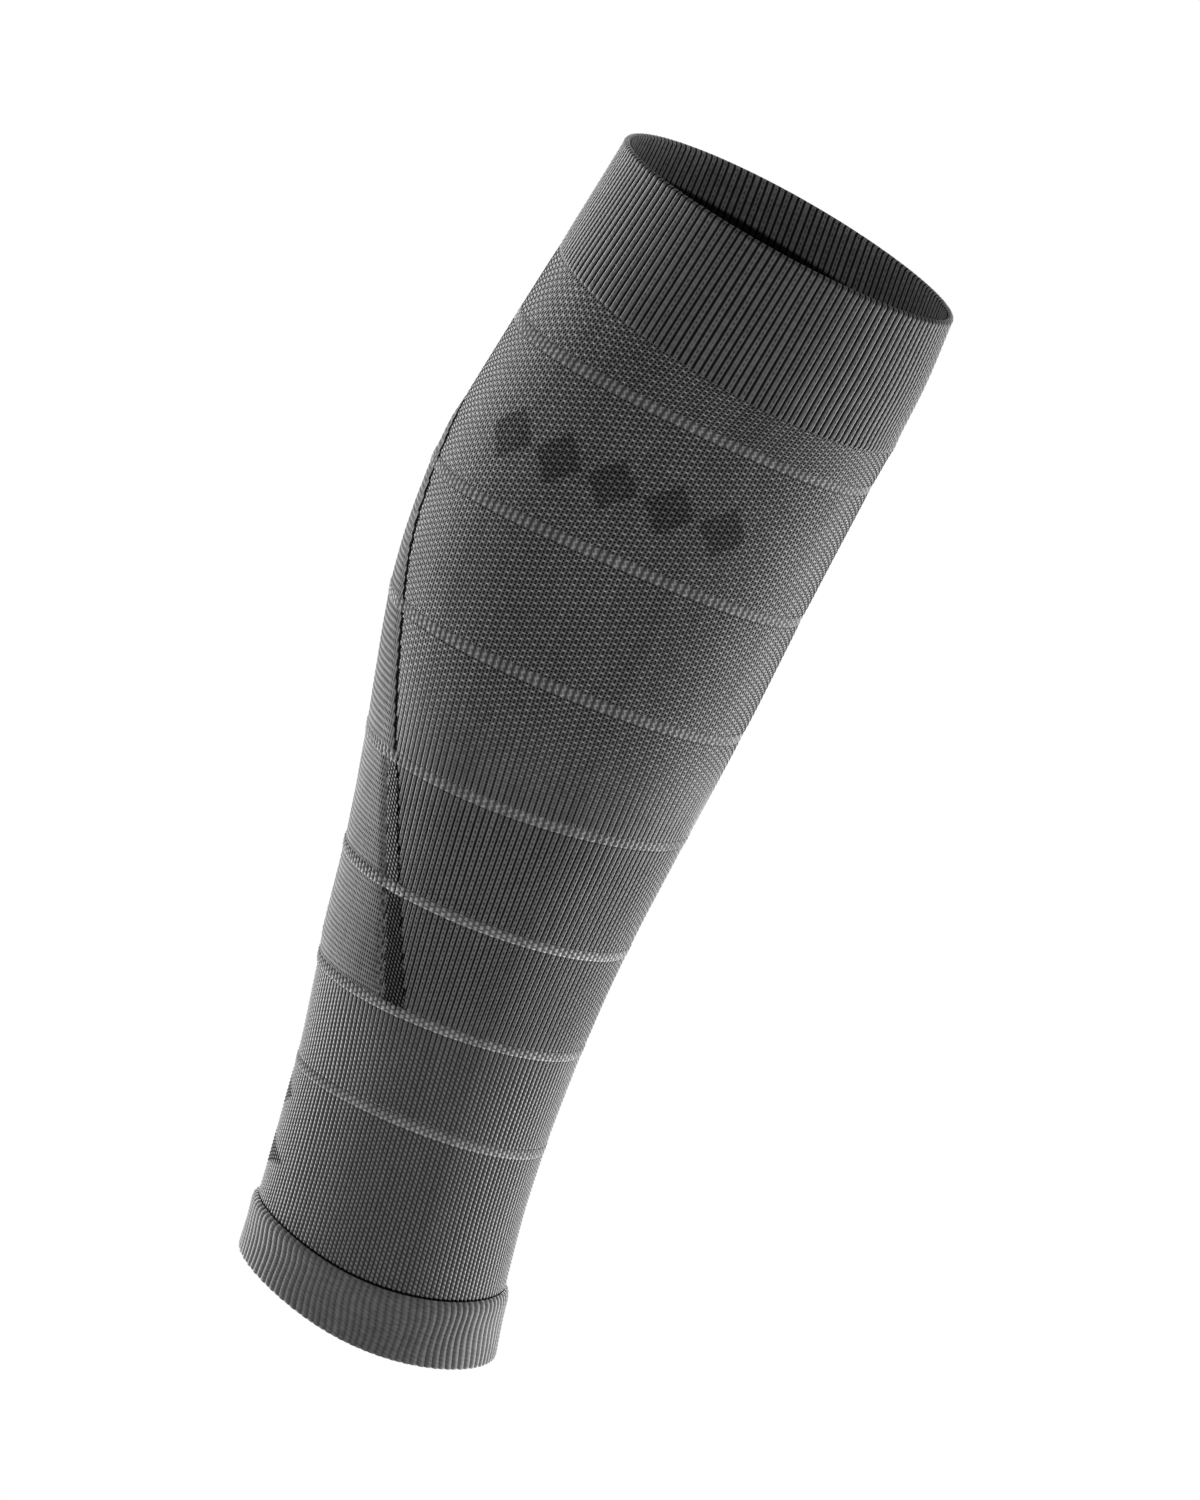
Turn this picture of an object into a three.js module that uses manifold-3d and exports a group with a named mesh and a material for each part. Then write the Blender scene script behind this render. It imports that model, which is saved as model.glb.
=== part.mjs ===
import * as THREE from "three";
import { mergeVertices } from "three/addons/utils/BufferGeometryUtils.js";
import Module from "manifold-3d";

// A knitted calf compression sleeve in the form that it takes on a leg.
// Millimetres, +Z up towards the knee, -Y at the shin, +Y at the calf, -X at the outer side of a right leg.
// The origin is on the leg's axis, level with the widest part of the calf.

// Whole sleeve
const sleeveLength = 349;
const calfDepth = 118;
const calfWidth = 112;
const originPlace = 0.684;
const wall = 2;
const clearance = 0.3;

// Ribbed cuff at the knee and ribbed hem at the ankle
const cuffHeight = 40.5;
const cuffRibs = 156;
const cuffRibRelief = 0.8;
const rimRoll = 1.6;
const hemHeight = 18.5;
const hemRibs = 108;
const hemRibRelief = 0.7;
const hemProud = 1.5;
const hemLip = 4;

// Pale rings, each laid in a shallow groove
const ringHeight = 3.3;
const ringGrooveDepth = 1;
const ringPlaces = [0.833, 0.7, 0.585, 0.477, 0.371, 0.273, 0.181];
const panelEndRing = 5;

// Calf panel and the dark gusset strips beside it
const panelProud = 1;
const panelFade = 9;
const panelShoulder = 0.14;
const panelLedge = 2;
const gussetTopPlace = 0.486;
const gussetTopWidth = 1.4;
const gussetBottomWidth = 5;

// Facets
const panelColumns = 8;
const bodyColumns = 28;
const bodyRows = 12;
const panelRows = 14;

// The form of the sleeve's outside. place: share of the sleeve's length, up from the ankle edge.
// back, front: shares of the calf's depth behind and before the leg's axis. side: share of the calf's width.
// full: how much rounder the calf side is than the shin side. rise: slope of the courses up to the calf.
// dip: share of the sleeve's length by which the courses hang lower at the sides.
const legForm = [
  { place: 0.0, back: 0.346, front: 0.353, side: 0.329, full: -0.1, rise: 0.041, dip: 0.0134 },
  { place: 0.05, back: 0.352, front: 0.319, side: 0.315, full: -0.1, rise: 0.003, dip: 0.0125 },
  { place: 0.087, back: 0.361, front: 0.303, side: 0.306, full: -0.1, rise: -0.005, dip: 0.008 },
  { place: 0.133, back: 0.377, front: 0.287, side: 0.305, full: -0.08, rise: -0.012, dip: 0.002 },
  { place: 0.181, back: 0.389, front: 0.278, side: 0.31, full: -0.05, rise: -0.019, dip: -0.0027 },
  { place: 0.273, back: 0.434, front: 0.275, side: 0.338, full: 0.0, rise: -0.025, dip: 0.0 },
  { place: 0.371, back: 0.471, front: 0.287, side: 0.382, full: 0.03, rise: -0.006, dip: 0.0 },
  { place: 0.477, back: 0.526, front: 0.32, side: 0.429, full: 0.06, rise: -0.031, dip: 0.0 },
  { place: 0.536, back: 0.567, front: 0.338, side: 0.455, full: 0.07, rise: -0.003, dip: -0.0025 },
  { place: 0.585, back: 0.6, front: 0.354, side: 0.474, full: 0.08, rise: 0.029, dip: -0.0058 },
  { place: 0.631, back: 0.616, front: 0.364, side: 0.487, full: 0.08, rise: 0.033, dip: -0.008 },
  { place: 0.7, back: 0.619, front: 0.381, side: 0.498, full: 0.08, rise: 0.04, dip: -0.0107 },
  { place: 0.774, back: 0.599, front: 0.401, side: 0.5, full: 0.07, rise: 0.055, dip: -0.01 },
  { place: 0.833, back: 0.559, front: 0.418, side: 0.499, full: 0.06, rise: 0.079, dip: -0.0073 },
  { place: 0.884, back: 0.526, front: 0.431, side: 0.495, full: 0.05, rise: 0.168, dip: 0.0045 },
  { place: 0.944, back: 0.497, front: 0.449, side: 0.488, full: 0.04, rise: 0.148, dip: 0.001 },
  { place: 1.0, back: 0.471, front: 0.449, side: 0.478, full: 0.04, rise: 0.127, dip: -0.0017 },
];

// The calf panel's outline. spread: half of its width, as a share of half the way round the leg.
const panelForm = [
  { place: 0.265, spread: 0.366 },
  { place: 0.343, spread: 0.303 },
  { place: 0.403, spread: 0.249 },
  { place: 0.483, spread: 0.186 },
  { place: 0.543, spread: 0.151 },
  { place: 0.631, spread: 0.099 },
  { place: 0.686, spread: 0.071 },
  { place: 0.732, spread: 0.045 },
  { place: 0.754, spread: 0.022 },
];

const share = (length) => length / sleeveLength;
const cuffBottom = 1 - share(cuffHeight);
const hemTop = share(hemHeight);
const panelTop = panelForm.at(-1).place;
const panelBottom = ringPlaces[panelEndRing] + share(ringHeight / 2 + clearance + panelLedge);

// A column of a table at any place, on a smooth curve through its rows.
function smooth(table, column, place) {
  const last = table.length - 1;
  const inside = Math.min(Math.max(place, table[0].place), table[last].place);
  let low = 0;
  while (low < last - 1 && table[low + 1].place < inside) low += 1;
  const slope = (row) => {
    const before = table[Math.max(row - 1, 0)];
    const after = table[Math.min(row + 1, last)];
    return (after[column] - before[column]) / (after.place - before.place);
  };
  const step = table[low + 1].place - table[low].place;
  const t = (inside - table[low].place) / step;
  const start = table[low][column] * (2 * t ** 3 - 3 * t ** 2 + 1);
  const end = table[low + 1][column] * (3 * t ** 2 - 2 * t ** 3);
  const leaving = slope(low) * step * (t ** 3 - 2 * t ** 2 + t);
  const arriving = slope(low + 1) * step * (t ** 3 - t ** 2);
  return start + end + leaving + arriving;
}

// Half the depth and half the width of the sleeve at a place, and the middle of its depth.
function section(place) {
  const back = smooth(legForm, "back", place) * calfDepth;
  const front = smooth(legForm, "front", place) * calfDepth;
  const halfWidth = smooth(legForm, "side", place) * calfWidth;
  return { halfDepth: (back + front) / 2, middle: (back - front) / 2, halfWidth };
}

// A point of the fabric. turn: share of the way round, from the middle of the calf towards +X.
// out: distance outside the sleeve's surface, negative towards the leg.
function fabricPoint(turn, place, out) {
  const { halfDepth, middle, halfWidth } = section(place);
  const angle = 2 * Math.PI * turn;
  const full = smooth(legForm, "full", place);
  const x = (halfWidth + out) * Math.sin(angle) * (1 + full * Math.cos(angle));
  const y = middle + (halfDepth + out) * Math.cos(angle);
  const dip = smooth(legForm, "dip", place) * sleeveLength * Math.sin(angle) ** 2;
  const height = (place - originPlace) * sleeveLength;
  return new THREE.Vector3(x, y, height + smooth(legForm, "rise", place) * y - dip);
}

// A length round the leg as a share of the way round.
function turnOf(length, place) {
  const { halfDepth, halfWidth } = section(place);
  return length / (2 * Math.PI * Math.sqrt((halfDepth ** 2 + halfWidth ** 2) / 2));
}

// The turn of the panel's edge, and how far the panel stands out at a place.
const panelEdge = (place) => smooth(panelForm, "spread", place) / 2;
function panelLift(place) {
  const fromEnd = Math.min(panelTop - place, place - panelBottom) * sleeveLength;
  return panelProud * Math.min(Math.max(fromEnd / panelFade, 0), 1);
}

// The panel's columns at a place: its two edges, its shoulders and even steps between them.
function panelStations(place) {
  const edge = panelEdge(place);
  const lift = panelLift(place);
  const stations = [{ turn: -edge, lift: 0 }];
  const shoulder = edge * (1 - panelShoulder);
  const steps = panelColumns - 2;
  for (let step = 0; step <= steps; step += 1) {
    stations.push({ turn: shoulder * ((2 * step) / steps - 1), lift });
  }
  stations.push({ turn: edge, lift: 0 });
  return stations;
}

// A closed loop round the leg, with the panel's columns and even steps between its edges.
// Every loop starts at the middle of the calf.
function plainLoop(place, out, liftShare = 0) {
  const edge = panelEdge(place);
  const stations = panelStations(place);
  for (let step = 1; step < bodyColumns; step += 1) {
    stations.push({ turn: edge + ((1 - 2 * edge) * step) / bodyColumns, lift: 0 });
  }
  const fromMiddle = stations.map(({ turn, lift }) => ({ turn: turn < 0 ? turn + 1 : turn, lift }));
  fromMiddle.sort((a, b) => a.turn - b.turn);
  return fromMiddle.map(({ turn, lift }) => ({
    turn,
    point: fabricPoint(turn, place, out + liftShare * lift),
  }));
}

// A closed loop with a ridge and a furrow for each rib.
function ribbedLoop(place, out, ribs, relief) {
  const loop = [];
  for (let half = 0; half < 2 * ribs; half += 1) {
    const turn = half / (2 * ribs);
    const height = half % 2 ? -relief / 2 : relief / 2;
    loop.push({ turn, point: fabricPoint(turn, place, out + height) });
  }
  return loop;
}

function geometryOf(points, faces) {
  const geometry = new THREE.BufferGeometry().setFromPoints(points);
  geometry.setIndex(faces);
  return geometry;
}

// A closed band round the leg. Its loops go down the outside, across, up the inside and back.
// Two loops may have different numbers of points: the one that lags in turn takes the next step.
function band(loops) {
  const points = loops.flatMap((loop) => loop.map(({ point }) => point));
  const faces = [];
  let base = 0;
  loops.forEach((upper, index) => {
    const lower = loops[(index + 1) % loops.length];
    const lowerBase = index + 1 < loops.length ? base + upper.length : 0;
    const ahead = (loop, step) => loop[step % loop.length].turn + Math.floor(step / loop.length);
    const above = (step) => base + (step % upper.length);
    const below = (step) => lowerBase + (step % lower.length);
    let up = 0;
    let down = 0;
    while (up < upper.length || down < lower.length) {
      const upNext = up < upper.length ? ahead(upper, up + 1) : Infinity;
      const downNext = down < lower.length ? ahead(lower, down + 1) : Infinity;
      if (upNext <= downNext) {
        faces.push(above(up), above(up + 1), below(down));
        up += 1;
      } else {
        faces.push(above(up), below(down + 1), below(down));
        down += 1;
      }
    }
    base += upper.length;
  });
  return geometryOf(points, faces);
}

// A closed patch of fabric between an outer and an inner grid of points, rows going down the leg.
function patch(outer, inner) {
  const rows = outer.length;
  const columns = outer[0].length;
  const outside = (row, column) => row * columns + column;
  const inside = (row, column) => (rows + row) * columns + column;
  const faces = [];
  const quad = (a, b, c, d) => faces.push(a, b, c, a, c, d);
  for (let row = 0; row < rows - 1; row += 1) {
    for (let column = 0; column < columns - 1; column += 1) {
      const [next, below] = [column + 1, row + 1];
      quad(outside(row, column), outside(row, next), outside(below, next), outside(below, column));
      quad(inside(row, next), inside(row, column), inside(below, column), inside(below, next));
    }
    const [below, last] = [row + 1, columns - 1];
    quad(outside(row, 0), outside(below, 0), inside(below, 0), inside(row, 0));
    quad(outside(row, last), inside(row, last), inside(below, last), outside(below, last));
  }
  for (let column = 0; column < columns - 1; column += 1) {
    const [next, last] = [column + 1, rows - 1];
    quad(inside(0, column), inside(0, next), outside(0, next), outside(0, column));
    quad(inside(last, next), inside(last, column), outside(last, column), outside(last, next));
  }
  return geometryOf([...outer.flat(), ...inner.flat()], faces);
}

const kernel = await Module();
kernel.setup();

function solid(geometry) {
  const merged = mergeVertices(geometry, 1e-4);
  const vertProperties = new Float32Array(merged.attributes.position.array);
  const triVerts = new Uint32Array(merged.index.array);
  return new kernel.Manifold(new kernel.Mesh({ numProp: 3, vertProperties, triVerts }));
}

function geometryFrom(manifold) {
  const mesh = manifold.getMesh();
  const geometry = new THREE.BufferGeometry();
  const positions = new Float32Array(mesh.vertProperties);
  geometry.setAttribute("position", new THREE.BufferAttribute(positions, 3));
  geometry.setIndex(new THREE.BufferAttribute(new Uint32Array(mesh.triVerts), 1));
  return geometry;
}

// Places spaced evenly from the upper one down to the lower one.
function placesBetween(upper, lower, steps) {
  return Array.from({ length: steps + 1 }, (_, step) => upper + ((lower - upper) * step) / steps);
}

// The outline of a piece that is let into the body, widened all round by a margin.
// Each row holds a place and its stations; the end rows move out by the margin.
function inset(places, stationsAt, outward, inward, margin) {
  const last = places.length - 1;
  const rows = places.map((place, row) => {
    const end = (row === 0 ? 1 : 0) - (row === last ? 1 : 0);
    const moved = place + end * share(margin);
    const stations = stationsAt(place);
    const grown = turnOf(margin, place);
    return stations.map(({ turn, lift }, column) => {
      const side = (column === stations.length - 1 ? 1 : 0) - (column === 0 ? 1 : 0);
      return { turn: turn + side * grown, lift, place: moved };
    });
  });
  const outer = rows.map((row) => row.map((s) => fabricPoint(s.turn, s.place, outward + s.lift)));
  const inner = rows.map((row) => row.map((s) => fabricPoint(s.turn, s.place, inward)));
  return patch(outer, inner);
}

// How far a cut runs past the fabric's faces.
const overrun = wall / 2;
const panelPlaces = placesBetween(panelTop, panelBottom, panelRows);
const gussetPlaces = panelPlaces.filter((place) => place < gussetTopPlace);

function gussetStations(side) {
  return (place) => {
    const [first, last] = [gussetPlaces[0], gussetPlaces.at(-1)];
    const down = (first - place) / (first - last);
    const width = gussetTopWidth + (gussetBottomWidth - gussetTopWidth) * down;
    const near = panelEdge(place) + turnOf(clearance, place);
    const far = near + turnOf(width, place);
    const turns = side > 0 ? [near, far] : [-far, -near];
    return turns.map((turn) => ({ turn, lift: 0 }));
  };
}

const panelPiece = (outward, inward, margin) =>
  inset(panelPlaces, panelStations, outward, inward, margin);
const gussetPiece = (side, outward, inward, margin) =>
  inset(gussetPlaces, gussetStations(side), outward, inward, margin);

// A ring's section swept round the leg, over the panel where the ring crosses it.
function ringBand(place, height, inward, outward) {
  const [upper, lower] = [place + share(height / 2), place - share(height / 2)];
  return band([
    plainLoop(upper, outward, 1),
    plainLoop(lower, outward, 1),
    plainLoop(lower, inward, 1),
    plainLoop(upper, inward, 1),
  ]);
}

const grooveHeight = ringHeight + 2 * clearance;
const grooveCut = (place) => solid(ringBand(place, grooveHeight, -ringGrooveDepth, overrun));

// The knitted body, from under the cuff to above the hem, before its window is cut.
function bodyShell() {
  const top = cuffBottom - share(clearance);
  const bottom = hemTop + share(clearance);
  const grooves = ringPlaces.map((place) => [
    { place: place + share(grooveHeight / 2), out: 0 },
    { place: place + share(grooveHeight / 2), out: -ringGrooveDepth },
    { place: place - share(grooveHeight / 2), out: -ringGrooveDepth },
    { place: place - share(grooveHeight / 2), out: 0 },
  ]);
  const evenRows = placesBetween(top, bottom, bodyRows);
  const inGroove = (place) => ringPlaces.some((ring) => Math.abs(ring - place) < share(ringHeight));
  const between = evenRows.filter((place) => !inGroove(place)).map((place) => [{ place, out: 0 }]);
  const runs = [...grooves, ...between].sort((a, b) => b[0].place - a[0].place);
  const outside = runs.flat().map(({ place, out }) => plainLoop(place, out));
  const inside = evenRows.reverse().map((place) => plainLoop(place, -wall));
  return band([...outside, ...inside]);
}

function legTube() {
  const [outward, inward] = [overrun, -wall - overrun];
  return solid(bodyShell())
    .subtract(solid(panelPiece(outward, inward, clearance)))
    .subtract(solid(gussetPiece(1, outward, inward, clearance)))
    .subtract(solid(gussetPiece(-1, outward, inward, clearance)));
}

const crossedRings = ringPlaces.filter((place) => place < panelTop && place > panelBottom);

function calfPanel() {
  const whole = solid(panelPiece(0, -wall, 0));
  return crossedRings.reduce((piece, place) => piece.subtract(grooveCut(place)), whole);
}

function gusset(side) {
  const whole = solid(gussetPiece(side, 0, -wall, 0));
  return crossedRings.reduce((piece, place) => piece.subtract(grooveCut(place)), whole);
}

// The knee cuff: ribbed outside, plain inside, with a rolled rim.
function topCuff() {
  const ribbed = (place) => ribbedLoop(place, 0, cuffRibs, cuffRibRelief);
  const middle = (1 + cuffBottom) / 2;
  const underRim = 1 - share(rimRoll);
  return band([
    plainLoop(1, -wall / 2),
    ribbed(underRim),
    ribbed(middle),
    ribbed(cuffBottom),
    plainLoop(cuffBottom, -wall),
    plainLoop(middle, -wall),
    plainLoop(underRim, -wall),
  ]);
}

// The ankle hem: a ribbed welt with a lip at its upper edge.
function bottomCuff() {
  const ribbed = (place, out) => ribbedLoop(place, out, hemRibs, hemRibRelief);
  return band([
    ribbed(hemTop, hemProud / 2),
    ribbed(hemTop - share(hemLip), hemProud),
    ribbed(0, hemProud / 2),
    plainLoop(0, -wall),
    plainLoop(hemTop, -wall),
  ]);
}

const yarns = {
  greyKnit: new THREE.MeshStandardMaterial({ color: 0x85878b, roughness: 0.9, metalness: 0 }),
  ribKnit: new THREE.MeshStandardMaterial({ color: 0x7d7f83, roughness: 0.92, metalness: 0 }),
  panelKnit: new THREE.MeshStandardMaterial({ color: 0x97999d, roughness: 0.88, metalness: 0 }),
  darkKnit: new THREE.MeshStandardMaterial({ color: 0x4b4c50, roughness: 0.95, metalness: 0 }),
  paleYarn: new THREE.MeshStandardMaterial({ color: 0xc9cacc, roughness: 0.6, metalness: 0 }),
};

const sleeve = new THREE.Group();

function add(name, geometry, yarn) {
  const mesh = new THREE.Mesh(geometry, yarn);
  mesh.name = name;
  mesh.geometry.computeVertexNormals();
  sleeve.add(mesh);
}

add("top_cuff", topCuff(), yarns.ribKnit);
add("leg_tube", geometryFrom(legTube()), yarns.greyKnit);
add("calf_panel", geometryFrom(calfPanel()), yarns.panelKnit);
add("gusset_outer", geometryFrom(gusset(-1)), yarns.darkKnit);
add("gusset_inner", geometryFrom(gusset(1)), yarns.darkKnit);
ringPlaces.forEach((place, index) => {
  const ring = ringBand(place, ringHeight, clearance - ringGrooveDepth, 0);
  add(`reflective_ring_${index + 1}`, ring, yarns.paleYarn);
});
add("bottom_cuff", bottomCuff(), yarns.ribKnit);

export default sleeve;
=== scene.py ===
# %% [markdown]
# # A knitted calf sleeve
# The real thing is one tube off a circular knitting machine: a ribbed cuff under the knee, a fine ribbed
# body with seven pale rings, a thicker panel over the calf, and a ribbed hem at the ankle. It is shown
# worn, so every piece keeps the form of a leg that is not there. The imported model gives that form.

# %% Load the frame
import math

import bpy
import numpy as np
from mathutils import Matrix, Vector
from mathutils.bvhtree import BVHTree


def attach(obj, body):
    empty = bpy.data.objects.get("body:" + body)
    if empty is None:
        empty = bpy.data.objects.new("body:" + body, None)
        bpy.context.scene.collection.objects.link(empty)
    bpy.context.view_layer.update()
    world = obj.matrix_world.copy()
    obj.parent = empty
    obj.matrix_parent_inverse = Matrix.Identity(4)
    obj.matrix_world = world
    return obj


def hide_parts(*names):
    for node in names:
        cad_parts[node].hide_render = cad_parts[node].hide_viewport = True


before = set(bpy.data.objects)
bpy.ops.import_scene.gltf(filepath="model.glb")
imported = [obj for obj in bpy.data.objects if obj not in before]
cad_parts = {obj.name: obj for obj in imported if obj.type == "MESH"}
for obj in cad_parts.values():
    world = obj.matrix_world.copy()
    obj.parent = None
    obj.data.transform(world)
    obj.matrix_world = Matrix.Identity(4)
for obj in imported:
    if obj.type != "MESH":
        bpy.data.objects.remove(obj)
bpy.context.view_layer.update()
MM = 0.001
print("frame holds", len(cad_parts), "nodes")

# %% [markdown]
# ## Reading the leg
# A knitted course is a closed line round the leg, and on this sleeve it climbs a little towards the calf
# and hangs a little lower at the sides. The seven rings and the four ends of the cuffs show how much. One
# could type those slopes again, but fitting them to the frame keeps the cloth on its solids. Each course
# is named by its level: its height on the leg's axis.

# %% A node's points, and the course through them
SLICES = 24


def points_of(name):
    """All vertices of a node of the frame, in metres."""
    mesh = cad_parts[name].data
    flat = np.empty(len(mesh.vertices) * 3, np.float32)
    mesh.vertices.foreach_get("co", flat)
    return flat.reshape(-1, 3).astype(float)


def course_of(points):
    """A course's level, rise, dip and the middle of its depth, fitted to points along it."""
    y = points[:, 1]
    middle = (y.max() + y.min()) / 2
    half = (y.max() - y.min()) / 2
    side = 1 - ((y - middle) / half) ** 2
    table = np.stack([np.ones_like(y), y, -side], axis=1)
    level, rise, dip = np.linalg.lstsq(table, points[:, 2], rcond=None)[0]
    return level, rise, dip, middle


def edge_points(name, upper):
    """The vertices along the upper or the lower end of a cuff, one for each slice round it."""
    points = points_of(name)
    middle = (points[:, 1].max() + points[:, 1].min()) / 2
    angle = np.arctan2(points[:, 0], points[:, 1] - middle)
    slices = np.floor((angle + math.pi) / (2 * math.pi) * SLICES).astype(int)
    height = points[:, 2] if upper else -points[:, 2]
    picks = []
    for k in range(SLICES):
        members = np.flatnonzero(slices == k)
        picks.append(members[np.argmax(height[members])])
    return points[picks]


# %% Fit the courses to the rings and the cuffs
RING_COUNT = 7

courses = [course_of(edge_points("bottom_cuff", False)), course_of(edge_points("bottom_cuff", True))]
for number in range(RING_COUNT, 0, -1):
    courses.append(course_of(points_of(f"reflective_ring_{number}")))
courses += [course_of(edge_points("top_cuff", False)), course_of(edge_points("top_cuff", True))]
course_table = np.array(courses)
ANKLE_EDGE, HEM_TOP = course_table[0, 0], course_table[1, 0]
CUFF_BOTTOM, RIM = course_table[-2, 0], course_table[-1, 0]
ring_levels = course_table[2:-2, 0]
ring_five = points_of("reflective_ring_5")
level, rise = course_of(ring_five)[:2]
RING_HEIGHT = 2 * np.abs(ring_five[:, 2] - level - rise * ring_five[:, 1]).mean()
print("courses at", np.round(course_table[:, 0] / MM, 1), "mm, ring height", round(RING_HEIGHT / MM, 2))


# %% [markdown]
# ## Measuring round the leg
# The frame's solids have a few dozen flat facets, and cloth has none. Rays from the leg's axis find the
# inner wall at many angles, a short cosine series through them gives a round section, and a soft average
# up the leg takes the last corners out. The leg is the same on both sides of the plane through the shin.

# %% Courses between the rings
def along(column, level):
    """A column of the course table at any level."""
    return np.interp(level, course_table[:, 0], course_table[:, column])


def rise_at(level):
    return along(1, level)


def dip_at(level):
    return along(2, level)


def middle_at(level):
    return along(3, level)


# %% Rays to the inner wall
def wall_tree():
    """One search tree over the cloth's solids, without the rings."""
    vertices = []
    faces = []
    for name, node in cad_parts.items():
        if name.startswith("reflective_ring"):
            continue
        base = len(vertices)
        vertices += [vertex.co.copy() for vertex in node.data.vertices]
        faces += [[base + index for index in polygon.vertices] for polygon in node.data.polygons]
    return BVHTree.FromPolygons(vertices, faces)


def measured_radius(tree, angle, level, guess):
    """The inner wall's distance from the section's middle, or nan where a ray finds a gap."""
    y = middle_at(level) + guess * math.cos(angle)
    z = level + rise_at(level) * y - dip_at(level) * math.sin(angle) ** 2
    start = Vector((0, middle_at(level), z))
    hit = tree.ray_cast(start, Vector((math.sin(angle), math.cos(angle), 0)))[0]
    return math.nan if hit is None else (hit - start).length


# %% Sections up the leg
COSINES = 5
LEVEL_STEP = 2 * MM
SOFTEN = 5 * MM
RAYS = 25
FIRST_RADIUS = 45 * MM
FARTHEST = 90 * MM


def measure_sections():
    """For each level, the cosine series of the inner radius."""
    tree = wall_tree()
    levels = np.arange(ANKLE_EDGE + MM, RIM - 2 * MM, LEVEL_STEP)
    angles = np.linspace(0, math.pi, RAYS)
    table = np.cos(np.outer(angles, np.arange(COSINES)))
    rows = []
    radii = np.full(RAYS, FIRST_RADIUS)
    for level in levels:
        radii = np.array([measured_radius(tree, a, level, r) for a, r in zip(angles, radii)])
        good = np.isfinite(radii) & (radii < FARTHEST)
        if good.sum() < RAYS // 2:
            rows.append(rows[-1])
            radii = table @ rows[-1]
            continue
        rows.append(np.linalg.lstsq(table[good], radii[good], rcond=None)[0])
        radii = table @ rows[-1]
    return levels, np.array(rows)


def soften(series):
    """A soft average of the series up the leg, with straight ends."""
    reach = int(3 * SOFTEN / LEVEL_STEP)
    weights = np.exp(-0.5 * (np.arange(-reach, reach + 1) * LEVEL_STEP / SOFTEN) ** 2)
    weights /= weights.sum()
    padded = np.pad(series, ((reach, reach), (0, 0)), mode="reflect", reflect_type="odd")
    columns = [np.convolve(column, weights, mode="valid") for column in padded.T]
    return np.stack(columns, axis=1)


section_levels, section_series = measure_sections()
section_series = soften(section_series)
print(len(section_levels), "sections of", COSINES, "numbers each")

# %% Points on the cloth, and the way back
WALL = 2 * MM
LOOP_POINTS = 181


def leg_point(turn, level, out):
    """Points of the cloth. turn: share of the way round from the calf towards +X. out: from its face."""
    angle = 2 * math.pi * turn
    radius = WALL + out
    for k in range(COSINES):
        radius = radius + np.interp(level, section_levels, section_series[:, k]) * np.cos(k * angle)
    x = radius * np.sin(angle)
    y = middle_at(level) + radius * np.cos(angle)
    z = level + rise_at(level) * y - dip_at(level) * np.sin(angle) ** 2
    return np.stack([x, y, z], axis=-1)


def turn_and_level(points):
    """The way back: which turn and level a point near the cloth has."""
    level = points[:, 2].copy()
    for _ in range(6):
        angle = np.arctan2(points[:, 0], points[:, 1] - middle_at(level))
        level = points[:, 2] - rise_at(level) * points[:, 1] + dip_at(level) * np.sin(angle) ** 2
    return angle / (2 * math.pi), level


def girth_at(level):
    """The way round the cloth's face along a course."""
    loop = leg_point(np.linspace(0, 1, LOOP_POINTS), level, 0.0)
    return float(np.linalg.norm(np.diff(loop, axis=0), axis=1).sum())


for level in np.linspace(ANKLE_EDGE, RIM, 3):
    print("level", round(level / MM), "mm: girth", round(girth_at(level) / MM), "mm")


# %% [markdown]
# ## Counting the knit
# A rib is one column of stitches with a furrow beside it, and the machine keeps the same number of ribs
# from the knee to the ankle. The pattern repeats along a rib every two courses, and that repeat is called
# a stitch here. It is 2 mm long under the knee, and 1.3 mm near the ankle, where the sleeve is tightest.
# Both come from the photograph. Between the rings there are whole numbers of stitches.

# %% Share out the stitches
RIBS = 156
HEM_RIBS = 108
PITCH_LEVELS = [-200 * MM, -170 * MM, -130 * MM, -100 * MM, -55 * MM, 60 * MM, 80 * MM]
PITCHES = [1.2 * MM, 1.31 * MM, 1.47 * MM, 1.55 * MM, 1.82 * MM, 1.97 * MM, 1.74 * MM]
RING_STITCHES = 2


def whole_stitches(low, high):
    pitch = np.interp((low + high) / 2, PITCH_LEVELS, PITCHES)
    return max(1, round((high - low) / pitch))


bands = []


def add_band(name, low, high, count=None):
    """Notes a band of the tube: its levels and the stitches that it starts with and holds."""
    count = count or whole_stitches(low, high)
    start = bands[-1]["start"] + bands[-1]["count"] if bands else 0
    bands.append({"name": name, "low": low, "high": high, "start": start, "count": count})


add_band("bottom_cuff", ANKLE_EDGE, HEM_TOP)
previous = HEM_TOP
for index, centre in enumerate(ring_levels):
    number = RING_COUNT - index
    low, high = centre - RING_HEIGHT / 2, centre + RING_HEIGHT / 2
    add_band(f"body_band_{number + 1}", previous, low)
    add_band(f"ring_{number}", low, high, RING_STITCHES)
    previous = high
add_band("body_band_1", previous, CUFF_BOTTOM)
add_band("top_cuff", CUFF_BOTTOM, RIM)
band_of = {band["name"]: band for band in bands}
TOTAL_STITCHES = bands[-1]["start"] + bands[-1]["count"]
print(TOTAL_STITCHES, "stitches in", len(bands), "bands")


# %% [markdown]
# ## A sheet of knit
# Each piece starts as a flat grid, the way a swatch lies on a table: one face or more for each rib and
# half stitch. Its vertices are then rolled round the leg. The section of the cloth goes down the outside,
# round the lower edge and up the inside, so the rolled grid closes on itself twice, and merging its
# doubles makes one closed shell. The UV map counts ribs and stitches, and the yarn's pattern reads it.

# %% A flat grid
def deselect_all():
    bpy.ops.object.select_all(action="DESELECT")


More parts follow.
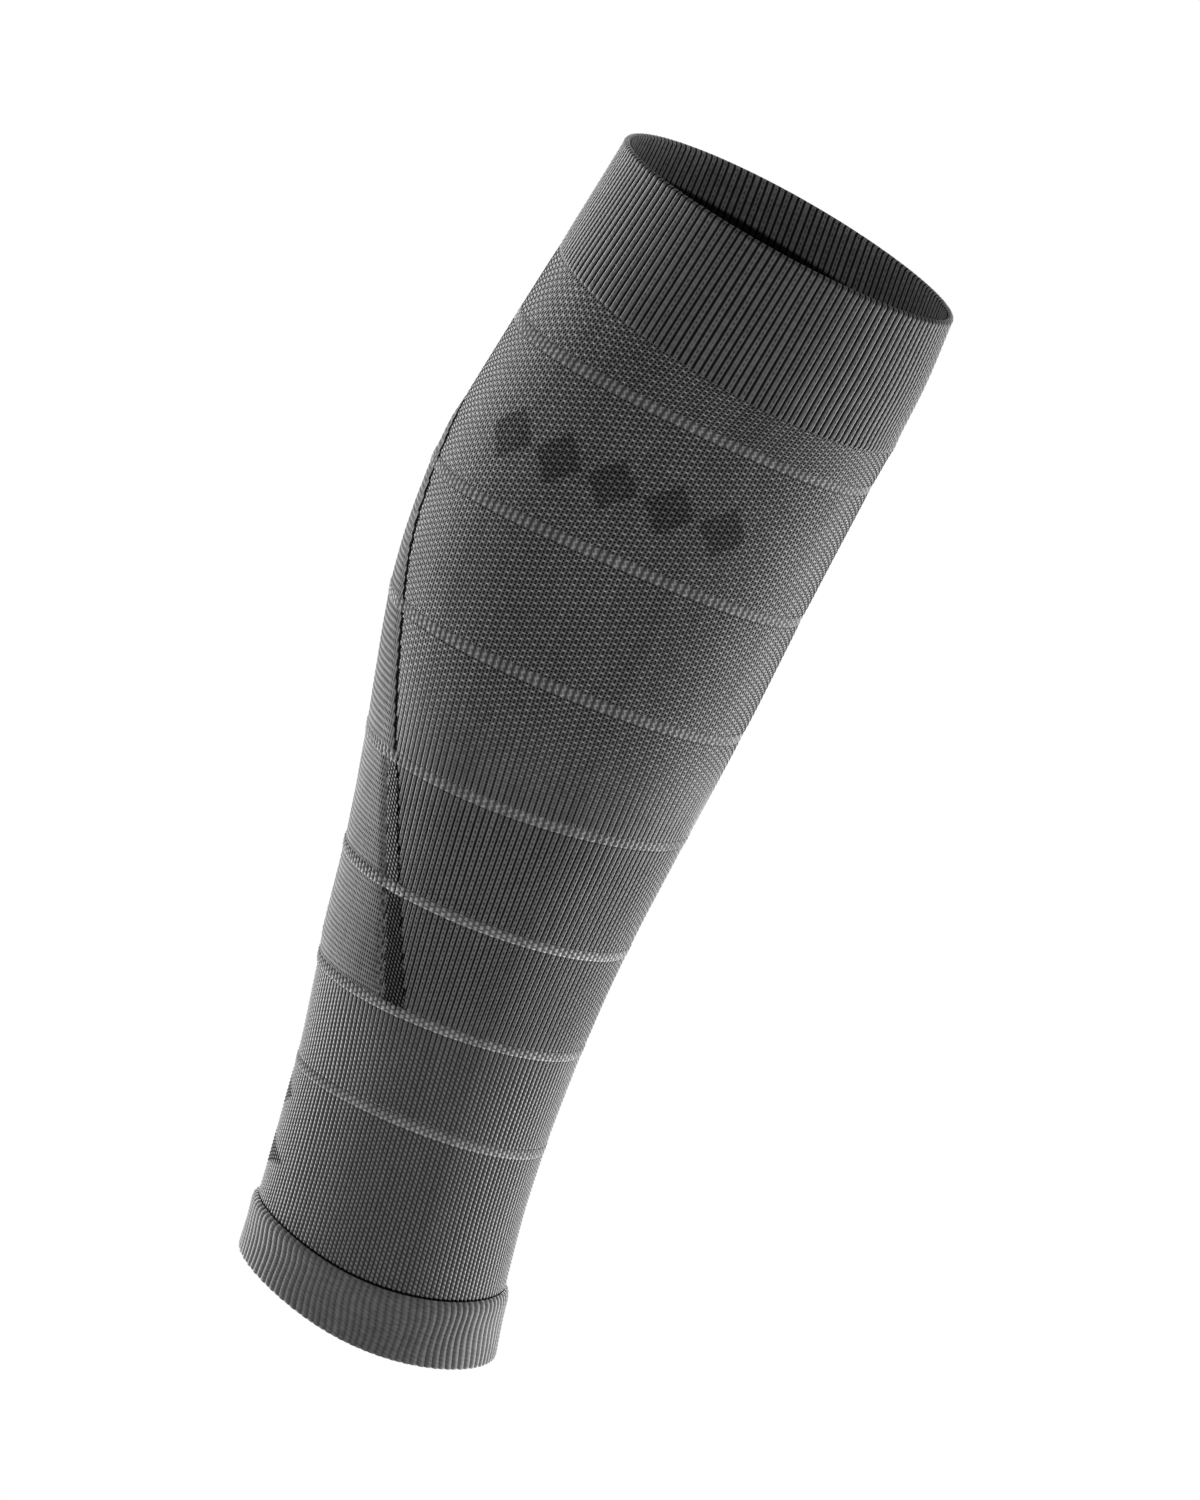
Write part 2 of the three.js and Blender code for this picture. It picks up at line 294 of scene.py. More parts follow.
def flat_grid(name, columns, rows):
    """A flat grid of faces, one metre each way, as the active object."""
    deselect_all()
    bpy.ops.mesh.primitive_grid_add(x_subdivisions=columns, y_subdivisions=rows, size=1)
    piece = bpy.context.object
    piece.name = name
    piece.data.name = name
    return piece


def grid_indices(mesh, columns, rows):
    """Each vertex's column and row in the flat grid."""
    flat = np.empty(len(mesh.vertices) * 3, np.float32)
    mesh.vertices.foreach_get("co", flat)
    flat = flat.reshape(-1, 3)
    column = np.rint((flat[:, 0] + 0.5) * columns).astype(int)
    row = np.rint((flat[:, 1] + 0.5) * rows).astype(int)
    return column, row


# %% Its shape, its stitch map and its values
def set_shape(mesh, points):
    mesh.vertices.foreach_set("co", points.astype(np.float32).ravel())
    mesh.update()


def set_stitch_map(mesh, ribs, stitches):
    """A UV map whose first number counts ribs and whose second counts stitches."""
    corner_vertex = np.empty(len(mesh.loops), np.int32)
    mesh.loops.foreach_get("vertex_index", corner_vertex)
    layer = mesh.uv_layers[0]
    layer.name = "stitches"
    counts = np.stack([ribs[corner_vertex], stitches[corner_vertex]], axis=1)
    layer.data.foreach_set("uv", counts.astype(np.float32).ravel())


def set_value(mesh, name, values):
    """A number for each vertex, which a material can read by name."""
    attribute = mesh.attributes.new(name, "FLOAT", "POINT")
    attribute.data.foreach_set("value", values.astype(np.float32))


# %% Close the shell
MERGE_WITHIN = 0.01 * MM


def close_shell(piece):
    """Merges the doubles where the rolled grid meets itself, and turns the faces outwards."""
    bpy.context.view_layer.objects.active = piece
    piece.select_set(True)
    bpy.ops.object.mode_set(mode="EDIT")
    bpy.ops.mesh.select_all(action="SELECT")
    bpy.ops.mesh.remove_doubles(threshold=MERGE_WITHIN)
    bpy.ops.mesh.normals_make_consistent(inside=False)
    bpy.ops.object.mode_set(mode="OBJECT")
    bpy.ops.object.shade_smooth()


# %% [markdown]
# ## The stitches' relief
# Seen close, a rib is a rounded ridge with a furrow on each side, and beads of yarn along its crest that
# are half a stitch out of step with the next rib's. On the upper calf the knit is a mesh: a second, lower
# column of stitches fills each furrow. Four vertices across a rib and two along a stitch carry all that.

# %% Relief of ribs and stitches
def mesh_share(stitches):
    """How much of the knit is mesh at a stitch: all of it on the upper calf, none below the calf."""
    fades = [band_of["ring_4"]["start"] - 6, band_of["ring_3"]["start"], band_of["top_cuff"]["start"]]
    return np.interp(stitches, fades + [fades[-1] + 0.4], [0.0, 1.0, 1.0, 0.0])


def knit_relief(ribs, stitches, rib_depth, bead_depth):
    """How far the yarn stands out at a count of ribs and stitches, zero at the mean."""
    across = np.mod(ribs, 1) - 0.5
    ridge = 1 - np.abs(2 * across) ** 3 - 0.6
    double = 0.3 * np.cos(4 * math.pi * ribs) - 0.12 * np.cos(2 * math.pi * ribs)
    share = mesh_share(stitches)
    step = np.where(np.mod(np.floor(ribs + 0.001), 2) > 0.5, -1.0, 1.0)
    beads = step * np.cos(2 * math.pi * stitches) * np.clip(1.2 - np.abs(3 * across), 0, 1)
    return rib_depth * (ridge * (1 - share) + double * share) + bead_depth * beads


# %% How the ribs drift to the side
LEG_RADIUS = 50 * MM
R1_LEVEL = ring_levels[-1]
CUFF_LEAN = 0.1
LEAN_FROM = 15 * MM
DRIFT_HEIGHT = 60 * MM
HEM_FADE = 6 * MM


def wander(turn, level):
    """The ribs' slow drift, the hem's waves and the lean of the cuff's ribs, in shares of the way round."""
    angle = 2 * math.pi * turn
    height = level / DRIFT_HEIGHT
    drift = 0.5 * np.sin(3 * angle + 1.1 * height) + 0.3 * np.sin(7 * angle - 1.7 * height)
    drift = drift + 0.25 * np.sin(16 * angle + 2.3 * height)
    in_hem = np.clip((HEM_TOP - level) / HEM_FADE, 0, 1)
    drift = drift + 1.1 * in_hem * np.sin(5 * angle + 16 * height)
    in_cuff = np.maximum(level - R1_LEVEL, 0)
    lean = CUFF_LEAN * in_cuff * in_cuff / (in_cuff + LEAN_FROM) / (2 * math.pi * LEG_RADIUS)
    return 0.3 / RIBS * drift - lean


# %% A band rolled round the leg
VERTICES_PER_RIB = 4


def rolled_band(name, rib_count, per_rib, section, rib_depth, bead_depth, lift=None):
    """A closed band of knit. section: rows of (level, out, stitch, share of the relief)."""
    columns = rib_count * per_rib
    rows = len(section)
    piece = flat_grid(name, columns, rows)
    column, row = grid_indices(piece.data, columns, rows)
    table = np.array(section + section[:1])
    level, out, stitches, share = table[row].T
    ribs = column / per_rib
    turn = ribs / rib_count
    turn = turn + wander(turn, level)
    relief = knit_relief(ribs, stitches, rib_depth, bead_depth) * share
    if lift is not None:
        out = out + lift(turn, level) * (share > 0)
    set_shape(piece.data, leg_point(turn, level, out + relief))
    set_stitch_map(piece.data, ribs, stitches)
    set_value(piece.data, "inside", np.clip(-out / WALL * 2 - 1, 0, 1))
    set_value(piece.data, "row", (stitches - stitches.min()) / np.ptp(stitches))
    close_shell(piece)
    return piece


# %% [markdown]
# ## Where things are on the calf panel
# The panel and the two gusset strips beside it belong to the same knit as the body. They could be cut out
# of it, but laid over it they can't leave a gap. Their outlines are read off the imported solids: for each
# row of their vertices, the level and how far round it reaches.

# %% Read the outlines of the panel and the gusset strips
ROW_STEP = 0.4 * MM


def outline_of(name, pick):
    """Levels from low to high, and the turn that pick finds in each row of a node's vertices."""
    turn, level = turn_and_level(points_of(name))
    keys = np.rint(level / ROW_STEP).astype(int)
    found = []
    for key in np.unique(keys):
        row = np.abs(turn[keys == key])
        if len(row) >= 3:
            found.append((level[keys == key].mean(), pick(row)))
    return np.array(found)


R6_LEVEL, R5_LEVEL, R4_LEVEL, R3_LEVEL = ring_levels[1:5]
panel_rows = outline_of("calf_panel", np.max)
PANEL_LOW, PANEL_HIGH = R6_LEVEL, panel_rows[-1, 0]
gusset_near_rows = outline_of("gusset_inner", np.min)
GUSSET_LOW, GUSSET_HIGH = R6_LEVEL, R4_LEVEL
print("panel from", round(PANEL_LOW / MM, 1), "to", round(PANEL_HIGH / MM, 1), "mm, rows", len(panel_rows))
print("gusset from", round(GUSSET_LOW / MM, 1), "to", round(GUSSET_HIGH / MM, 1), "mm")

# %% Borders, which go in steps
BORDER_LEVELS = [R4_LEVEL - 0.1 * MM, R4_LEVEL, R3_LEVEL, R3_LEVEL + 20 * MM]
BORDER_RIBS = [0.0, 2.4, 1.2, 0.0]
STRIP_LEVELS = [R6_LEVEL, R5_LEVEL, R4_LEVEL - 7 * MM, R4_LEVEL]
STRIP_RIBS = [5.1, 3.4, 3.3, 2.4]
EDGE_STEPS = 2


def panel_edge(level):
    """The turn of the panel's edge, which takes in a plain border above the fourth ring."""
    border = np.interp(level, BORDER_LEVELS, BORDER_RIBS)
    return np.interp(level, panel_rows[:, 0], panel_rows[:, 1]) + border / RIBS


def in_steps(ribs):
    """Knitting moves an edge by single needles, two to a rib, so an edge goes in small steps."""
    return np.rint(ribs * EDGE_STEPS) / EDGE_STEPS


def strip_ribs(level):
    """The two edges of a gusset strip, in ribs from the middle of the calf."""
    near = np.interp(level, gusset_near_rows[:, 0], gusset_near_rows[:, 1]) * RIBS
    return in_steps(near), in_steps(near + np.interp(level, STRIP_LEVELS, STRIP_RIBS))


def cover_edge(level):
    """The turn of the outer edge of whatever lies on the body: a strip below the fourth ring."""
    return np.where(level < R4_LEVEL, strip_ribs(level)[1] / RIBS, panel_edge(level))


# %% How far the panel and the rings stand out
PANEL_PROUD = 0.6 * MM
PANEL_SHOULDER = 3.5 * MM
PANEL_FADE = 9 * MM
COVER = 0.38 * MM
COVER_BELOW = 5 * MM


def soft_step(value):
    """0 below zero, 1 above one, and smooth between them."""
    inside = np.clip(value, 0, 1)
    return inside * inside * (3 - 2 * inside)


def panel_lift(turn, level):
    """How far the panel stands out of the body at a place."""
    around = np.abs(turn - np.rint(turn))
    inside = (panel_edge(level) - around) * 2 * math.pi * LEG_RADIUS
    ends = np.minimum(PANEL_HIGH - level, level - PANEL_LOW)
    return PANEL_PROUD * soft_step(inside / PANEL_SHOULDER) * soft_step(ends / PANEL_FADE)


def ring_lift(turn, level):
    """How far a ring stands out where it crosses the panel and the strips."""
    around = np.abs(turn - np.rint(turn))
    inside = (cover_edge(level) - around) * 2 * math.pi * LEG_RADIUS
    covered = (level < PANEL_HIGH) * (level > R6_LEVEL - COVER_BELOW)
    return panel_lift(turn, level) + COVER * soft_step(inside / MM + 0.6) * covered


# %% [markdown]
# ## Yarn
# One small class lets a shader's sums be written as Python: it wraps a socket, and each operator adds the
# Math node for it. Every other node comes from one method, with its settings first.

# %% A socket in sums
class Wire:
    """A socket that Python's operators work on."""

    def __init__(self, shader, socket):
        self.shader = shader
        self.socket = socket

    def __add__(self, other):
        return self.shader.sum("ADD", self, other)

    def __radd__(self, other):
        return self.shader.sum("ADD", other, self)

    def __sub__(self, other):
        return self.shader.sum("SUBTRACT", self, other)

    def __rsub__(self, other):
        return self.shader.sum("SUBTRACT", other, self)

    def __mul__(self, other):
        return self.shader.sum("MULTIPLY", self, other)

    def __rmul__(self, other):
        return self.shader.sum("MULTIPLY", other, self)

    def __truediv__(self, other):
        return self.shader.sum("DIVIDE", self, other)

    def fraction(self):
        return self.shader.sum("FRACT", self)

    def floor(self):
        return self.shader.sum("FLOOR", self)

    def size(self):
        return self.shader.sum("ABSOLUTE", self)

    def wave(self):
        return self.shader.sum("COSINE", self)

    def most(self, other):
        return self.shader.sum("MAXIMUM", self, other)

    def fade(self, low, high):
        """0 below low, 1 above high, and smooth between them."""
        settings = {"interpolation_type": "SMOOTHSTEP"}
        sockets = {"Value": self, "From Min": low, "From Max": high}
        return self.shader.node("ShaderNodeMapRange", settings, sockets, "Result")


# %% A material under construction
class Shader:
    """A material under construction."""

    def __init__(self, name):
        self.material = bpy.data.materials.new(name)
        self.material.use_nodes = True
        self.tree = self.material.node_tree
        self.tree.nodes.clear()

    def node(self, kind, settings, sockets, output=0):
        """Adds a node, sets its settings, then its sockets' values or links, and gives an output."""
        made = self.tree.nodes.new(kind)
        for key, value in settings.items():
            setattr(made, key, value)
        for key, value in sockets.items():
            if isinstance(value, Wire):
                self.tree.links.new(value.socket, made.inputs[key])
            else:
                made.inputs[key].default_value = value
        return Wire(self, made.outputs[output]) if made.outputs else made

    def sum(self, operation, *values):
        return self.node("ShaderNodeMath", {"operation": operation}, dict(enumerate(values)))

    def stitch_counts(self):
        """The rib count and the stitch count at a point."""
        both = self.node("ShaderNodeUVMap", {"uv_map": "stitches"}, {})
        parts = self.node("ShaderNodeSeparateXYZ", {}, {0: both})
        split = parts.socket.node
        return Wire(self, split.outputs["X"]), Wire(self, split.outputs["Y"])

    def attribute(self, name):
        """A number that the mesh keeps for each vertex."""
        return self.node("ShaderNodeAttribute", {"attribute_name": name}, {}, "Fac")

    def chance(self, first, second):
        """A number from 0 to 1 that is its own for each pair of whole numbers."""
        pair = self.node("ShaderNodeCombineXYZ", {}, {"X": first, "Y": second})
        return self.node("ShaderNodeTexWhiteNoise", {"noise_dimensions": "2D"}, {"Vector": pair}, "Value")

    def cloud(self, scale, detail):
        """Soft noise in the object's own space, from about 0.3 to 0.7."""
        place = self.node("ShaderNodeTexCoord", {}, {}, "Object")
        sockets = {"Vector": place, "Scale": scale, "Detail": detail}
        return self.node("ShaderNodeTexNoise", {}, sockets, "Fac")

    def grey(self, value):
        return self.node("ShaderNodeCombineColor", {}, {"Red": value, "Green": value, "Blue": value})


# %% [markdown]
# ## What the yarn shows
# The pattern changes down the leg. Under the cuff it is a mesh of bright beads and dark holes, lower down
# each rib is a ladder of small holes between two strands, and near the ankle it is a row of slanted
# beads. Modelling each strand would take millions of faces, so the shader draws them on the relief. Their
# light and dark is painted: painted highlights on the beads, strands and crests, and painted shade in the
# holes and furrows, over the relief's own shading. Each pattern is worked out from the same few distances
# in a stitch, and weights by the count of stitches let one pass into the next, as on the real sleeve.

# %% Distances in a stitch
def stitch_places(shader, ribs, stitches, stagger=0.5):
    """Distances from 0 to 1: from a rib's crest to its side, along a stitch, and along a course."""
    across = ribs.fraction() - 0.5
    odd = (ribs.floor() * 0.5).fraction() * 2
    stepped_stitches = stitches + stagger * odd
    leaning = (stepped_stitches - across * 0.55).fraction() - 0.5
    return {
        "shader": shader,
        "ribs": ribs,
        "stitches": stitches,
        "across": across,
        "odd": odd,
        "side": across.size() * 2,
        "along": (stepped_stitches.fraction() - 0.5).size() * 2,
        "leaning": leaning.size() * 2,
        "course": ((stitches * 2).fraction() - 0.5).size() * 2,
    }


def turned(ribs):
    """The angle round the leg at a count of ribs, zero behind the calf."""
    return ribs * (2 * math.pi / RIBS)


# %% Patterns of the cuff and the hem, each as lightness and height
def cuff_pattern(at):
    """Bold ribs with a chain of fine holes in every second one: painted highlights on the strands, painted
    shade in the holes and the black furrows.
    """
    furrow = at["side"].fade(0.52, 0.8)
    hole = (1 - at["side"].fade(0.04, 0.36)) * (1 - at["along"].fade(0.2, 0.8))
    hole = hole * (0.25 + 0.45 * at["odd"])
    strand = 1 - (at["side"] - 0.32).size().fade(0.05, 0.28)
    tone = (0.78 + 0.34 * strand) * (1 - 0.9 * furrow) * (1 - hole)
    return tone, 0.4 * strand - furrow - 0.5 * hole


def hem_pattern(at):
    """Smooth ribs with a painted highlight on each crest, painted shade in the furrows and a fine slanting
    grain.
    """
    crest = 1 - at["side"].fade(0.0, 0.5)
    furrow = at["side"].fade(0.6, 1.0)
    grain = at["leaning"].fade(0.2, 0.8)
    tone = 0.78 + 0.28 * crest - 0.3 * furrow + 0.2 * grain
    return tone, 0.3 * crest + 0.3 * grain - 0.3 * furrow


# %% Patterns of the body
def mesh_pattern(at):
    """A square net of threads: painted shade in a hole in each mesh, in dim spots and furrows, and a bead
    with a painted highlight at every second one.
    """
    between = (at["side"] - 0.5).size().fade(0.08, 0.32)
    hole = between * (1 - at["course"].fade(0.3, 0.85))
    bead = (1 - at["side"].fade(0.1, 0.6)) * (1 - at["along"].fade(0.1, 0.65))
    dim = (1 - at["side"].fade(0.2, 0.7)) * at["along"].fade(0.6, 1.0)
    furrow = at["side"].fade(0.6, 0.95)
    tone = (0.92 + 2.0 * bead) * (1 - 0.95 * hole) * (1 - 0.85 * dim) * (1 - 0.3 * furrow)
    return tone, 0.8 * bead - hole - 0.4 * dim


def ladder_pattern(at):
    """Two strands with painted highlights, and painted shade in the small holes between them and in the
    black furrow.
    """
    furrow = at["side"].fade(0.56, 0.82)
    hole = (1 - at["side"].fade(0.1, 0.46)) * (1 - at["along"].fade(0.15, 0.65))
    strand = 1 - (at["side"] - 0.36).size().fade(0.06, 0.3)
    tone = (0.62 + 0.52 * strand) * (1 - 0.92 * furrow) * (1 - 0.9 * hole)
    return tone, 0.5 * strand - furrow - 0.6 * hole


def seed_pattern(at):
    """Slanted beads with painted highlights in rows, on a ground of painted shade."""
    bead = (1 - at["side"].fade(0.2, 0.78)) * (1 - at["leaning"].fade(0.3, 0.85))
    furrow = at["side"].fade(0.6, 0.95)
    tone = (0.37 + 1.08 * bead) * (1 - 0.5 * furrow)
    return tone, bead - 0.7 * furrow


def body_pattern(at):
    """Mesh above, ladders in the middle and slanted beads below."""
    stitches = at["stitches"]
    mesh = stitches.fade(band_of["ring_4"]["start"] - 6, band_of["ring_3"]["start"])
    seed = 1 - stitches.fade(band_of["ring_6"]["start"] - 10, band_of["ring_6"]["start"] + 8)
    ladder = (1 - mesh) * (1 - seed)
    parts = [mesh_pattern(at), ladder_pattern(at), seed_pattern(at)]
    weights = [mesh, ladder, seed]
    tone = sum(weight * part[0] for weight, part in zip(weights, parts))
    height = sum(weight * part[1] for weight, part in zip(weights, parts))
    return tone, height


# %% Patterns of the rings
def loop_pattern(at):
    """Open loops that swing from side to side over the ribs, with painted shade in the furrows and painted
    shade that dulls them behind the calf.
    """
    swing = 0.17 * ((at["leaning"] - 0.5) * 2)
    loop = 1 - (at["across"] + swing).size().fade(0.05, 0.27)
    furrow = at["side"].fade(0.6, 0.9)
    # painted shade: the ring is darker towards the calf side
    behind = turned(at["ribs"]).wave()
    tone = (0.52 + 0.86 * loop) * (1 - 0.5 * furrow) * (1 - 0.2 * behind.fade(-0.1, 0.9))
    return tone, loop - 0.5 * furrow


def bead_pattern(at):
    """Two rows of round beads on painted shade, the lower one brighter, and painted shade that dulls both
    behind the calf.
    """
    bead = (1 - at["side"].fade(0.3, 0.8)) * (1 - at["along"].fade(0.4, 0.95))
    row = at["shader"].attribute("row")
    # painted shade: the ring is darker towards the calf side
    behind = turned(at["ribs"]).wave()
    tone = (0.36 + 0.86 * bead) * (1.26 - 0.62 * row) * (1 - 0.36 * behind.fade(0.45, 0.85))
    return tone, bead


# %% Patterns of the panel and the strips
def panel_pattern(at):
    """A square mesh: light rows and columns with a painted highlight, and a small hole of painted shade in
    each square.
    """
    column = 1 - (at["side"] - 0.5).size().fade(0.1, 0.38)
    hole = (1 - column) * (1 - at["along"].fade(0.25, 0.8))
    row = at["along"].fade(0.5, 0.95)
    tone = 0.66 + 0.3 * row + 0.24 * column - 0.62 * hole
    return tone, 0.3 * row + 0.3 * column - 0.6 * hole


def strip_pattern(at):
    """Fine seeds with painted highlights on a ground of near-black painted shade."""
    seed = (1 - at["side"].fade(0.15, 0.8)) * (1 - at["leaning"].fade(0.25, 0.85))
    return 0.04 + 2.3 * seed, seed


# %% [markdown]
# ## From pattern to cloth
# Cloth is matt, so its shine is a soft sheen at grazing angles: the fine hairs that catch the light along
# both edges of the leg in the photograph. A glossy coat would look like plastic. The gaps between the yarns
# have no hairs, so a second, bare shader shows there. Inside the cuff the colour is painted lighter just
# below the rim, a painted light, and almost black deeper down, a painted shadow where no light comes in
# past the leg. A simple dark tone stands for that shadow, with its edge where the photograph has it.

# %% Painted light and painted shadow inside the cuff
RIM_STITCH = TOTAL_STITCHES
CUFF_STITCH = band_of["top_cuff"]["start"]
CUFF_PITCH = (RIM - CUFF_BOTTOM) / band_of["top_cuff"]["count"]
# painted light inside just below the rim, and painted shadow deeper down
INSIDE_PAINTED_LIGHT = 1.5
DEEP_PAINTED_SHADOW = 0.05
DEEP_LEAST = 9.6 * MM / CUFF_PITCH
DEEP_MORE = 3.9 * MM / CUFF_PITCH
DEEP_SHIFT = 1.5 * MM / CUFF_PITCH
print("the inside turns dark", round(DEEP_LEAST, 1), "stitches or more below the rim")


def inside_painted_light_and_shadow(ribs, stitches):
    """Painted light and painted shadow inside, as a share of the outside's tone: lighter below the rim,
    near black deeper.
    """
    boundary = RIM_STITCH - DEEP_LEAST - DEEP_MORE * (turned(ribs) - math.pi / 2).wave()
    boundary = boundary + DEEP_SHIFT * turned(ribs).wave()
    deep = 1 - (stitches - boundary).fade(-0.4, 0.4)
    return INSIDE_PAINTED_LIGHT + (DEEP_PAINTED_SHADOW - INSIDE_PAINTED_LIGHT) * deep


def rim_painted_shade(ribs, stitches):
    """How much painted shade darkens the rim's fold, most of it on the outer side of the leg."""
    outer_side = (turned(ribs) + math.pi / 2).wave()
    return stitches.fade(RIM_STITCH - 0.1, RIM_STITCH + 0.2) * (0.1 + 0.9 * outer_side.fade(-0.2, 0.6))


# %% Uneven yarn and its hairs
CLOUD_SCALE = 30.0
CLOUD_DETAIL = 3.0
MESH_HAIRS = 0.64


def mottle(shader, ribs, stitches):
    """Lightness varies a little from stitch to stitch, from rib to rib and over the cloth."""
    stitch_chance = shader.chance(ribs.floor(), (stitches * 2).floor())
    rib_chance = shader.chance(ribs.floor(), 3.0)
    uneven = 1 + 0.3 * (stitch_chance - 0.5) + 0.16 * (rib_chance - 0.5)
    return uneven + 0.5 * (shader.cloud(CLOUD_SCALE, CLOUD_DETAIL) - 0.5)


def hair_share(tone, stitches, inside, rim):
    """How much of the yarn's hairs shows: less on the mesh, in the holes, inside and on the rim."""
    low = 1 - stitches.fade(band_of["ring_4"]["start"] - 4, band_of["ring_3"]["start"])
    area = MESH_HAIRS + (1 - MESH_HAIRS) * low.most(stitches.fade(CUFF_STITCH - 0.5, CUFF_STITCH))
    raised = tone.fade(0.1 - 0.1 * low, 0.8 - 0.45 * low)
    return raised * area * (1 - inside * 0.7) * (1 - rim * 0.85)


# %% The knit's material
BUMP_HEIGHT = 0.25 * MM
BUMP_STRENGTH = 0.6
LEAST_TONE = 0.03
KNIT_ROUGHNESS = 0.95


def surface_of(shader, value, height, sheen, hairs):
    """Yarn with its sheen, and bare shadow in the gaps between the yarns."""
    bump_sockets = {"Strength": BUMP_STRENGTH, "Distance": BUMP_HEIGHT, "Height": height}
    normal = shader.node("ShaderNodeBump", {}, bump_sockets, "Normal")
    shared = {"Base Color": shader.grey(value), "Roughness": KNIT_ROUGHNESS, "Normal": normal}
    gap = shader.node("ShaderNodeBsdfPrincipled", {}, shared | {"Specular IOR Level": 0.0})
    yarn_sockets = {"Specular IOR Level": 0.25, "Sheen Weight": sheen, "Sheen Roughness": hairs}
    yarn = shader.node("ShaderNodeBsdfPrincipled", {}, shared | yarn_sockets)
    return gap, yarn


def knit_material(name, shade, pattern, stagger=0.5, sheen=0.8, hairs=0.3, edit=None):
    """shade: the yarn's lightness. pattern: one of those above. edit changes the tone at places."""
    shader = Shader(name)
    ribs, stitches = shader.stitch_counts()
    at = stitch_places(shader, ribs, stitches, stagger)
    tone, height = pattern(at)
    if edit is not None:
        tone = edit(tone, at)
    inside = shader.attribute("inside")
    rim = rim_painted_shade(ribs, stitches)
    # painted shade darkens the rim's fold
    tone = tone.most(LEAST_TONE) * (1 - 0.35 * rim)
    value = shade * tone * mottle(shader, ribs, stitches)
    # painted light inside just below the rim, and painted shadow deeper inside the tube
    value = value * (1 + inside * (inside_painted_light_and_shadow(ribs, stitches) - 1))
    gap, yarn = surface_of(shader, value, height, sheen, hairs)
    cover = {0: hair_share(tone, stitches, inside, rim), 1: gap, 2: yarn}
    surface = shader.node("ShaderNodeMixShader", {}, cover)
    shader.node("ShaderNodeOutputMaterial", {}, {"Surface": surface})
    return shader.material


# %% [markdown]
# ## A plain woven-in motif
# A band of darker stitches lies on the outer side between the first two rings. Here it is a row of plain
# lozenges, knitted in with the same ribs, and two darker ones stand over the hem at the back. An image
# could be laid over the cloth, but counting in ribs and courses keeps their edges on the stitches.

# %% Lozenges on the body
MOTIF_RIBS = (101, 141)
MOTIF_STEP = 8
MOTIF_SHARE = 0.44
MOTIF_STITCHES = 4.4
MOTIF_DARK = 0.45
MARK_LEVELS = (-186 * MM, -205 * MM)
MARK_RIBS = (7.5, 11.0)
MARK_STITCHES = (5.8, 5.2)
MARK_DARK = 0.8


def level_stitch(level):
    """The count of stitches at a level of the lowest body band."""
    band = band_of["body_band_8"]
    return band["start"] + (level - band["low"]) / (band["high"] - band["low"]) * band["count"]


def motif_mask(rib, stitch):
    """The row of lozenges between the first two rings."""
    band = band_of["body_band_2"]
    centre = band["start"] + MOTIF_SHARE * band["count"]
    within = rib.fade(MOTIF_RIBS[0] - 0.1, MOTIF_RIBS[0] + 0.1)
    within = within * (1 - rib.fade(MOTIF_RIBS[1] - 0.1, MOTIF_RIBS[1] + 0.1))
    sideways = ((rib - MOTIF_RIBS[0]) / MOTIF_STEP).fraction() - 0.5
    reach = sideways.size() * 2.2 + ((stitch - centre) / MOTIF_STITCHES).size()
    return within * (1 - reach.fade(0.96, 1.04)) * MOTIF_DARK


def marked(tone, at):
    """Darkens the motif and the two marks over the hem, and paints a line of shadow on the body where it
    meets the hem's lip.
    """
    rib = (at["ribs"] * 2).floor() * 0.5 + 0.25
    stitch = (at["stitches"] * 2).floor() * 0.5 + 0.25
    mask = motif_mask(rib, stitch)
    back = ((rib + RIBS / 2) / RIBS).fraction() * RIBS - RIBS / 2
    for level, half_ribs, half_stitches in zip(MARK_LEVELS, MARK_RIBS, MARK_STITCHES):
        reach = back.size() / half_ribs + ((stitch - level_stitch(level)) / half_stitches).size()
        mask = mask.most(MARK_DARK - MARK_DARK * reach.fade(0.96, 1.04))
    # painted shadow on the body where it meets the hem's lip
    hem_lip_painted_shadow = 1 - (at["stitches"] - band_of["body_band_8"]["start"]).size().fade(0.45, 0.8)
    return tone * (1 - mask) * (1 - 0.95 * hem_lip_painted_shadow)


# %% Edges of the panel and the strips
STRIP_FINENESS = 1.25
TOOTH_STITCHES = 2.5
TOOTH_DEPTH = 1.3


def bordered(tone, at):
    """The panel's border: plain above the fourth ring, a light line below it, then dark teeth as well."""
    from_edge = at["shader"].attribute("edge")
    upper = at["stitches"].fade(band_of["ring_4"]["start"] - 0.5, band_of["ring_4"]["start"] + 0.5)
    lower = 1 - at["stitches"].fade(band_of["ring_5"]["start"] - 0.3, band_of["ring_5"]["start"] + 0.3)
    plain = upper * (1 - from_edge.fade(2.4, 3.4))
    tone = tone + plain * 0.5 * (0.95 - tone)
    line = 1 - from_edge.fade(0.9, 1.4)
    tooth = lower * ((at["stitches"] / TOOTH_STITCHES).fraction() - 0.5).size().fade(0.2, 0.3)
    from_tooth = from_edge - TOOTH_DEPTH * tooth
    light = (1 - upper) * (1 - from_tooth.fade(0.9, 1.5))
    dark = tooth * (1 - from_tooth.fade(0.0, 0.2))
    return (tone * (1 - 0.93 * line * upper) + light * 0.6) * (1 - 0.75 * dark)


def strip_tone(tone, at):
    """The strips: grey above the fifth ring and dark below it, with a black line at the outer edge."""
    ring = STRIP_FINENESS * band_of["ring_5"]["start"]
    upper = at["stitches"].fade(ring - 0.3, ring + 0.3)
    line = 1 - at["shader"].attribute("edge").fade(0.7, 1.2)
    return tone * (1 + 1.9 * upper) * (1 - 0.93 * line * upper)


